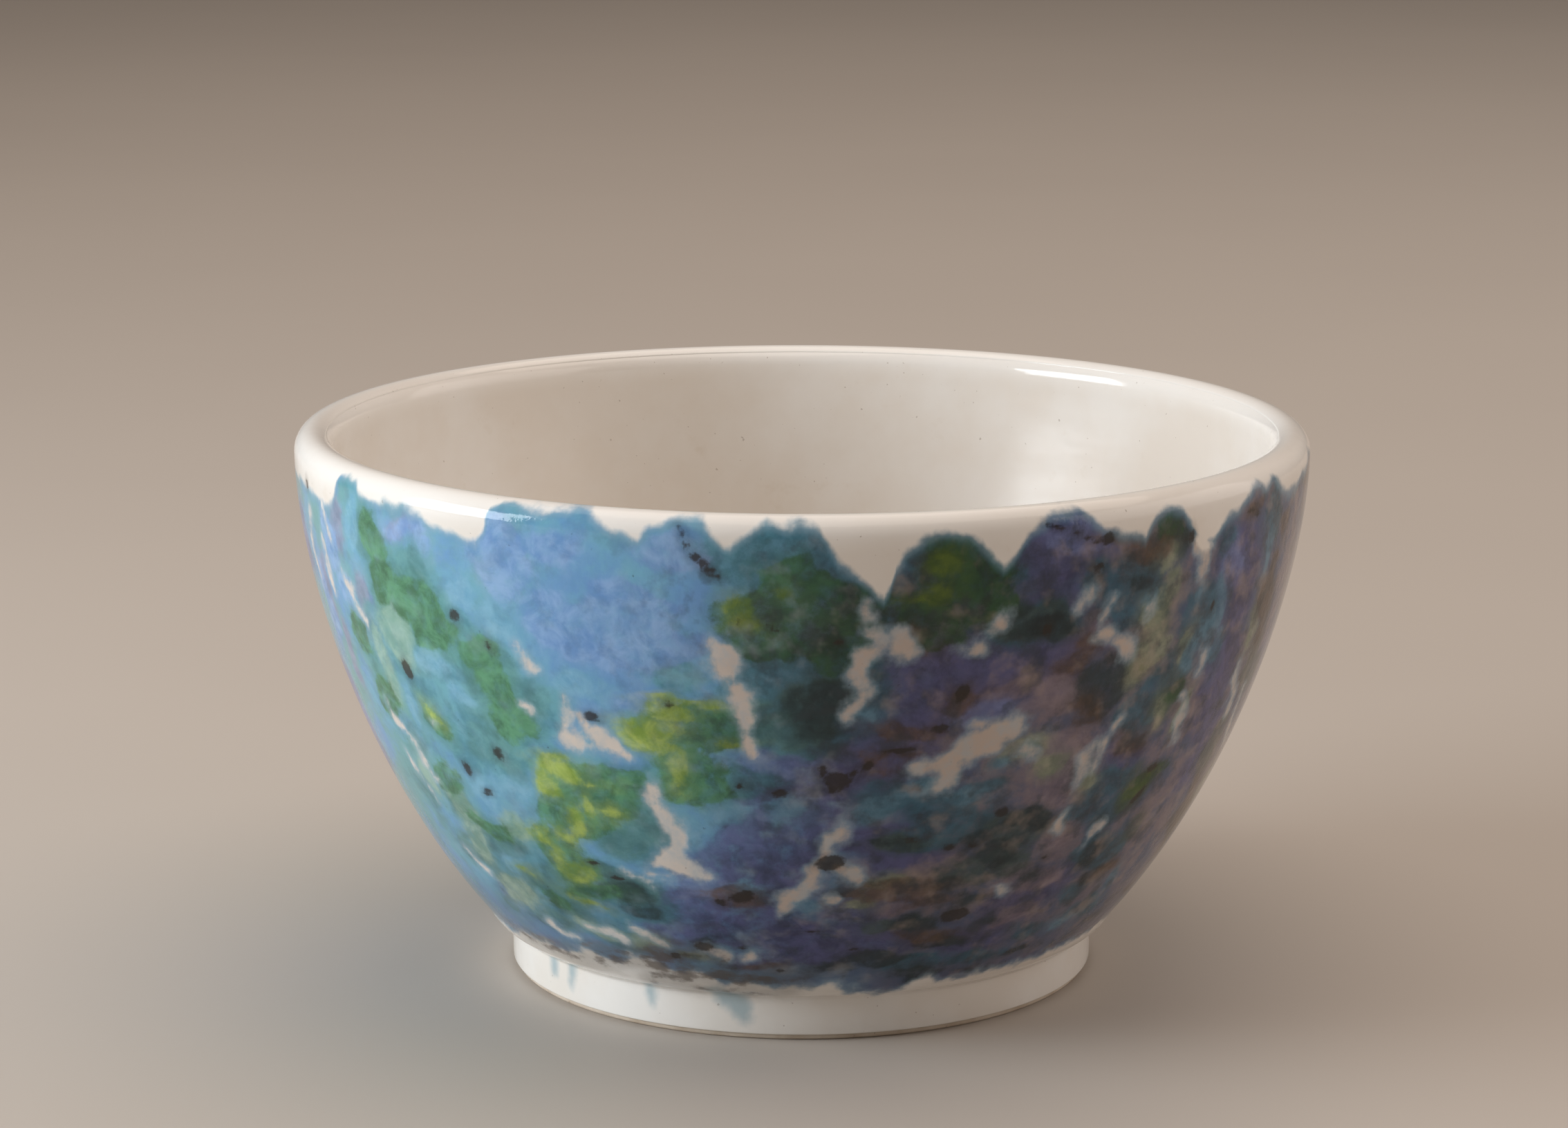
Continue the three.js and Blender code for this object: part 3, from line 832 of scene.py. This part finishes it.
def milk_surface(g, extra_bump=None, satin=False):
    """Gloss and the soft unevenness of a fired glaze. Below the lip, satin glaze is duller."""
    rough = g.patches(16, seed=12, low=0.3, high=0.7, to_low=0.075, to_high=0.125, detail=4)
    if satin:
        below = g.ramp(g.along("Z"), (WIDEST_HEIGHT + 2) * MM, (WIDEST_HEIGHT - 8) * MM,
                       to_high=0.14)
        rough = g.math("ADD", rough, below)
    g.put(g.shader.inputs["Roughness"], rough)
    g.shader.inputs["IOR"].default_value = GLAZE_IOR
    rings = g.noise(20, seed=2, detail=2, squash=(0.25, 0.25, 1.4))
    normal = g.bump(rings, strength=0.22, distance=0.8)
    dimples = g.noise(5.5, seed=9, detail=2)
    normal = g.bump(dimples, strength=0.16, distance=0.25, normal=normal)
    if extra_bump is not None:
        normal = g.bump(extra_bump, strength=0.5, distance=0.25, normal=normal)
    pinholes = g.noise(0.9, seed=4, detail=1)
    normal = g.bump(pinholes, strength=0.05, distance=0.05, normal=normal)
    g.put(g.shader.inputs["Normal"], normal)


def milk_material():
    """White glaze, for the inside and the underside."""
    g = Graph("milk_glaze")
    g.put(g.shader.inputs["Base Color"], milk_colour(g))
    milk_surface(g, satin=True)
    return g.material


def ground_colour(g, drift, to_right, z):
    """What lies under the dabs: blue, sea green on the left, slate and mauve right and low."""
    cloud = g.patches(13, seed=22, low=0.36, high=0.66, detail=5, rough=0.6)
    mauve = g.patches(11, seed=23, low=0.40, high=0.62, detail=5, rough=0.6)
    colour = g.mix(to_right, g.mix(cloud, SKY, CYAN), g.mix(mauve, SLATE, MAUVE))
    green = g.patches(15, seed=24, low=0.40, high=0.58, to_low=0.15, to_high=0.85,
                      detail=5, rough=0.6)
    colour = g.wash(g.ramp(drift, *LEFTWARD), colour, SEA_WASH, strength=green)
    return g.wash(g.ramp(z, *LOW_BAND), colour, SLATE, strength=0.6)


def add_dabs(g, colour, drift, z):
    """The layers of dabs, each mottled and torn at its edges."""
    # Each dab turns to its right-hand tones towards the right, and towards the bottom as painted shade.
    right_tone_and_low_shade = g.math("MULTIPLY_ADD", g.ramp(z, *SHADED_LOWER_HALF), 0.55, g.ramp(drift, *DEEPENING),
                    clamp=True)
    for seed, layer in enumerate(DABS):
        light, dark, right_light, right_dark, cover = PIGMENTS[layer]
        light = g.mix(right_tone_and_low_shade, light, right_light)
        dark = g.mix(right_tone_and_low_shade, dark, right_dark)
        tear = g.ragged(6.5, DAB_TEAR_SEED + seed, detail=6, rough=0.66)
        depth = g.depth(layer, tear, reach=8.0)
        edge = CRISP_EDGE if layer == "green" else SOFT_EDGE
        body = g.ramp(depth, *edge)
        halo = g.ramp(depth, -4.0, 0.0, to_high=0.25)
        grain = g.patches(3.6, DAB_GRAIN_SEED + seed, low=0.30, high=0.56, to_low=0.70,
                          detail=5, rough=0.62)
        share = g.math("MULTIPLY", g.math("MAXIMUM", body, halo), grain)
        mottle = g.patches(7.5, DAB_MOTTLE_SEED + seed, low=0.36, high=0.64,
                           detail=5, rough=0.6, distortion=0.6)
        colour = g.wash(share, colour, g.mix(mottle, light, dark), strength=cover)
    return colour


def add_flecks(g, colour, drift, to_right):
    """Blots and pale flecks, strongest on the right, where more layers lie over each other."""
    blot = g.patches(6.5, seed=64, low=0.50, high=0.66, detail=4, rough=0.56)
    colour = g.wash(blot, colour, BLOT,
                    strength=g.ramp(drift, *CROWDING, to_low=0.14, to_high=0.56))
    pale = g.patches(7.5, seed=65, low=0.50, high=0.74, detail=3, rough=0.5)
    # On the right the pale flecks take the stained milk, which is partly painted shade.
    return g.wash(pale, colour, g.mix(to_right, WASH, MILK_STAINED_AND_SHADED),
                  strength=g.ramp(drift, *CROWDING, to_low=0.14, to_high=0.38))


def thin_out(g, colour, drift):
    """Thins the colours to a pale wash and then to bare white where they stop. Also says where."""
    edge = g.ragged(5.0, seed=61, detail=4, rough=0.52)
    streak = g.depth("bare", edge, reach=-7.0)
    over = g.depth("over", edge, reach=-4.0)
    under = g.depth("under", edge, reach=-6.0)
    past_edge = g.math("MAXIMUM", over, under)
    bare = g.math("MAXIMUM", streak, past_edge)
    gone = g.ramp(bare, -0.8, 1.4)
    colour = g.wash(g.ramp(over, -3.6, -0.8), colour, FRINGE, strength=0.34)
    colour = g.wash(g.ramp(bare, -2.3, 0.4), colour, WASH, strength=0.46)
    stain = g.depth("stain", edge, reach=4.0)
    milk = g.mix(g.ramp(stain, -2.0, 1.6, to_high=0.62), milk_colour(g), STAIN)
    # Between the dabs the bare glaze is stained, and painted darker towards the right as painted shade.
    streaked = g.ramp(past_edge, -1.0, -3.0)
    stain_and_shade_to_right = g.ramp(drift, -0.010, 0.050, to_low=0.30, to_high=0.75)
    milk = g.wash(streaked, milk, MILK_STAINED_AND_SHADED, strength=stain_and_shade_to_right)
    tint = g.patches(6.0, seed=62, low=0.42, high=0.66, to_high=0.40, detail=5, rough=0.62)
    milk = g.wash(streaked, milk, WASH, strength=tint)
    return g.mix(gone, colour, milk), gone


def add_painted_crease_shade_and_spots(g, colour, painted):
    """Painted brown shade and reflection along the crease over the foot, dark spots, and flecks where it is
    painted.
    """
    wisp = g.ragged(6.0, seed=63, detail=5, rough=0.6, squash=(0.8, 0.8, 1.5))
    # The painted crease shade and reflection: a dark core, and a softer haze round it.
    painted_crease_shade = g.ramp(g.depth("painted_crease_shade", wisp, reach=13.0), -1.6, 2.6, to_high=0.84)
    haze = g.ramp(g.depth("painted_crease_shade", wisp, reach=6.0), -5.5, 1.0, to_high=0.40)
    colour = g.mix(g.math("MAXIMUM", painted_crease_shade, haze), colour, PAINTED_CREASE_SHADE)
    depth = g.depth("spots", g.ragged(2.4, seed=71, detail=4, rough=0.65), reach=2.8)
    spot = g.ramp(depth, -0.7, 0.6, to_high=0.88)
    smudge = g.ramp(depth, -2.2, 0.0, to_high=0.24)
    colour = g.mix(g.math("MAXIMUM", spot, smudge), colour, SPOT)
    fleck = g.patches(1.9, seed=72, low=0.72, high=0.80, detail=2)
    return g.wash(g.math("MULTIPLY", fleck, painted), colour, SPOT, strength=0.45)


def sponged_material():
    """The painted outside: dabs of colour over a blue wash, ragged at the edges, on white."""
    g = Graph("sponged_glaze_painted")
    z = g.along("Z")
    drift = g.math("MULTIPLY_ADD", g.noise(22, seed=21), 0.07, g.along("X"))
    to_right = g.ramp(drift, *RIGHTWARD)
    colour = ground_colour(g, drift, to_right, z)
    colour = add_dabs(g, colour, drift, z)
    colour = add_flecks(g, colour, drift, to_right)
    colour, gone = thin_out(g, colour, drift)
    painted = g.math("SUBTRACT", 1.0, gone)
    g.put(g.shader.inputs["Base Color"], add_painted_crease_shade_and_spots(g, colour, painted))
    g.shader.inputs["Specular IOR Level"].default_value = PAINTED_SPECULAR
    milk_surface(g, extra_bump=g.math("MULTIPLY", painted, g.noise(3.0, seed=81, detail=3)))
    return g.material


def clay_material():
    """Bare fired clay: matte, sandy and a little darker where it was handled."""
    g = Graph("bare_clay")
    cloud = g.patches(9, seed=91, low=0.35, high=0.68, detail=5)
    grit = g.patches(0.9, seed=92, low=0.66, high=0.74, detail=2)
    colour = g.wash(grit, g.mix(cloud, CLAY, CLAY_DARK), SPECK, strength=0.5)
    g.put(g.shader.inputs["Base Color"], colour)
    g.put(g.shader.inputs["Roughness"],
          g.patches(3, seed=93, low=0.3, high=0.7, to_low=0.72, to_high=0.92))
    grains = g.noise(0.8, seed=94, detail=4)
    g.put(g.shader.inputs["Normal"], g.bump(grains, strength=0.5, distance=0.2))
    return g.material


def paper_material():
    """The plain pale floor."""
    g = Graph("pale_floor")
    g.put(g.shader.inputs["Base Color"], g.mix(g.noise(400, seed=1), PAPER_SHADE, PAPER))
    g.shader.inputs["Roughness"].default_value = 0.6
    return g.material


# ---- pieces

def finished(piece, material, node):
    """Gives a piece its material, hides the CAD node that it takes the place of, and attaches it to the
    root body.
    """
    piece.data.materials.append(material)
    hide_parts(node)
    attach(piece, "root")


def skin(name, face, columns):
    """A closed skin of glaze: its face, and a coarser back that is one glaze thickness deeper."""
    back = inset(face, GLAZE_THICKNESS)
    back[0] = inset(face[:2], GLAZE_THICKNESS)[0]
    back[-1] = inset(face[-2:], GLAZE_THICKNESS)[-1]
    keep = np.unique(np.concatenate([np.arange(0, len(back), BACK_STEP), [len(back) - 1]]))
    return turned(name, np.vstack([face, back[keep][::-1]]), closed=True, columns=columns)


milk = milk_material()
sponged = sponged_material()
clay = clay_material()

paint_the_back()
outer_glaze = skin("outer_glaze", outside, PAINTED_COLUMNS)
paint(outer_glaze, outside)
finished(outer_glaze, sponged, "glaze_coat")

inside[-1, 0] = 0.0
liner_back = inset(inside, GLAZE_THICKNESS)
liner_back[-1] = (0.0, WELL_HEIGHT - GLAZE_THICKNESS)
liner_glaze = turned("liner_glaze", np.vstack([inside, liner_back[::-BACK_STEP]]))
finished(liner_glaze, milk, "glaze_coat")

ring_inner = FOOT_RADIUS - FOOT_WIDTH
ring_outer = FOOT_RADIUS - CLAY_DEPTH
ring_top = ring_high.z / MM
foot_profile = joined(
    evenly([(ring_inner, ring_top), (ring_inner, EASE)], step=1.0),
    bezier([(ring_inner, EASE), (ring_inner, 0.0), (ring_inner + EASE, 0.0)], count=7),
    evenly([(ring_inner + EASE, 0.0), (ring_outer - EASE, 0.0)], step=0.8),
    bezier([(ring_outer - EASE, 0.0), (ring_outer, 0.0), (ring_outer, EASE)], count=7),
    evenly([(ring_outer, EASE), (ring_outer, ring_top)], step=1.0),
    evenly([(ring_outer, ring_top), (ring_inner, ring_top)], step=3.0),
)
foot_clay = turned("foot_clay", foot_profile[:-1], closed=True)
finished(foot_clay, clay, "foot_ring")

recess_radius = recess_high.x / MM
recess_back = recess_high.z / MM
recess_edge = recess_low.z / MM
recess_face = recess_back - GLAZE_THICKNESS
recess_inner = recess_radius - GLAZE_THICKNESS
recess_profile = joined(
    [(0.0, recess_back), (recess_radius, recess_back)],
    evenly([(recess_radius, recess_back), (recess_radius, recess_edge)], step=2.0),
    bezier([(recess_radius, recess_edge), (recess_inner, recess_edge),
            (recess_inner, recess_edge + RECESS_EDGE)], count=5),
    evenly([(recess_inner, recess_edge + RECESS_EDGE), (recess_inner, recess_face - POOL)],
           step=1.0),
    bezier([(recess_inner, recess_face - POOL), (recess_inner, recess_face),
            (recess_inner - POOL, recess_face)], count=9),
    evenly([(recess_inner - POOL, recess_face), (0.0, recess_face)], step=2.5),
)
recess_profile[-1, 0] = 0.0
recess_glaze = turned("recess_glaze", recess_profile)
finished(recess_glaze, milk, "underside_glaze")

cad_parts["bowl_body"].material_slots[0].material = clay


# ---- floor, lights and camera

# Half the floor's width, the point that the lights shine at, and the camera's place, in metres.
FLOOR = 6.0
BOWL_MIDDLE = (0.0, 0.0, 0.07)
CAMERA_PLACE = (0.0, -1.0709, 0.3286)
# How far the camera is turned down, to the left and about its own axis, in radians.
CAMERA_DOWN, CAMERA_LEFT, CAMERA_ROLL = 0.2064, 0.0043, 0.0007
# In mm.
CAMERA_LENS, CAMERA_SENSOR = 96.9, 36.0
ROOM_COLOUR = (1.0, 0.88, 0.78, 1.0)
ROOM_STRENGTH = 0.16


def area_light(name, way, away, size, watts, colour):
    """A rectangular light that shines at the bowl from a direction, away metres off."""
    lamp = bpy.data.lights.new(name, "AREA")
    lamp.shape = "RECTANGLE"
    lamp.size, lamp.size_y = size
    lamp.energy = watts
    lamp.color = colour
    light = bpy.data.objects.new(name, lamp)
    bpy.context.scene.collection.objects.link(light)
    way = mathutils.Vector(way).normalized()
    light.location = mathutils.Vector(BOWL_MIDDLE) + way * away
    light.rotation_euler = way.to_track_quat("Z", "Y").to_euler()


floor_mesh = bpy.data.meshes.new("floor")
floor_mesh.from_pydata([(-FLOOR, -FLOOR, 0), (FLOOR, -FLOOR, 0), (FLOOR, FLOOR, 0),
                        (-FLOOR, FLOOR, 0)], [], [(0, 1, 2, 3)])
floor_mesh.materials.append(paper_material())
floor = bpy.data.objects.new("floor", floor_mesh)
bpy.context.scene.collection.objects.link(floor)

area_light("window", way=(-0.96, -0.21, 0.27), away=1.5, size=(0.8, 0.8), watts=21.0,
           colour=(0.90, 0.96, 1.0))
area_light("ceiling", way=(0.12, 0.10, 1.0), away=3.0, size=(4.0, 4.0), watts=70.0,
           colour=(1.0, 0.86, 0.75))
area_light("doorway", way=(0.95, 0.02, 0.25), away=2.4, size=(2.6, 2.0), watts=19.0,
           colour=(1.0, 0.90, 0.83))

room = bpy.data.worlds.new("room")
room.use_nodes = True
bpy.context.scene.world = room
background = room.node_tree.nodes["Background"]
background.inputs["Color"].default_value = ROOM_COLOUR
background.inputs["Strength"].default_value = ROOM_STRENGTH

camera = bpy.data.objects.new("camera", bpy.data.cameras.new("camera"))
bpy.context.scene.collection.objects.link(camera)
camera.location = CAMERA_PLACE
ahead = mathutils.Vector((-math.sin(CAMERA_LEFT) * math.cos(CAMERA_DOWN),
                          math.cos(CAMERA_LEFT) * math.cos(CAMERA_DOWN),
                          -math.sin(CAMERA_DOWN)))
roll = mathutils.Quaternion((0, 0, 1), CAMERA_ROLL)
camera.rotation_euler = (ahead.to_track_quat("-Z", "Y") @ roll).to_euler()
camera.data.lens = CAMERA_LENS
camera.data.sensor_width = CAMERA_SENSOR
bpy.context.scene.camera = camera
bpy.context.scene.view_settings.view_transform = "Standard"
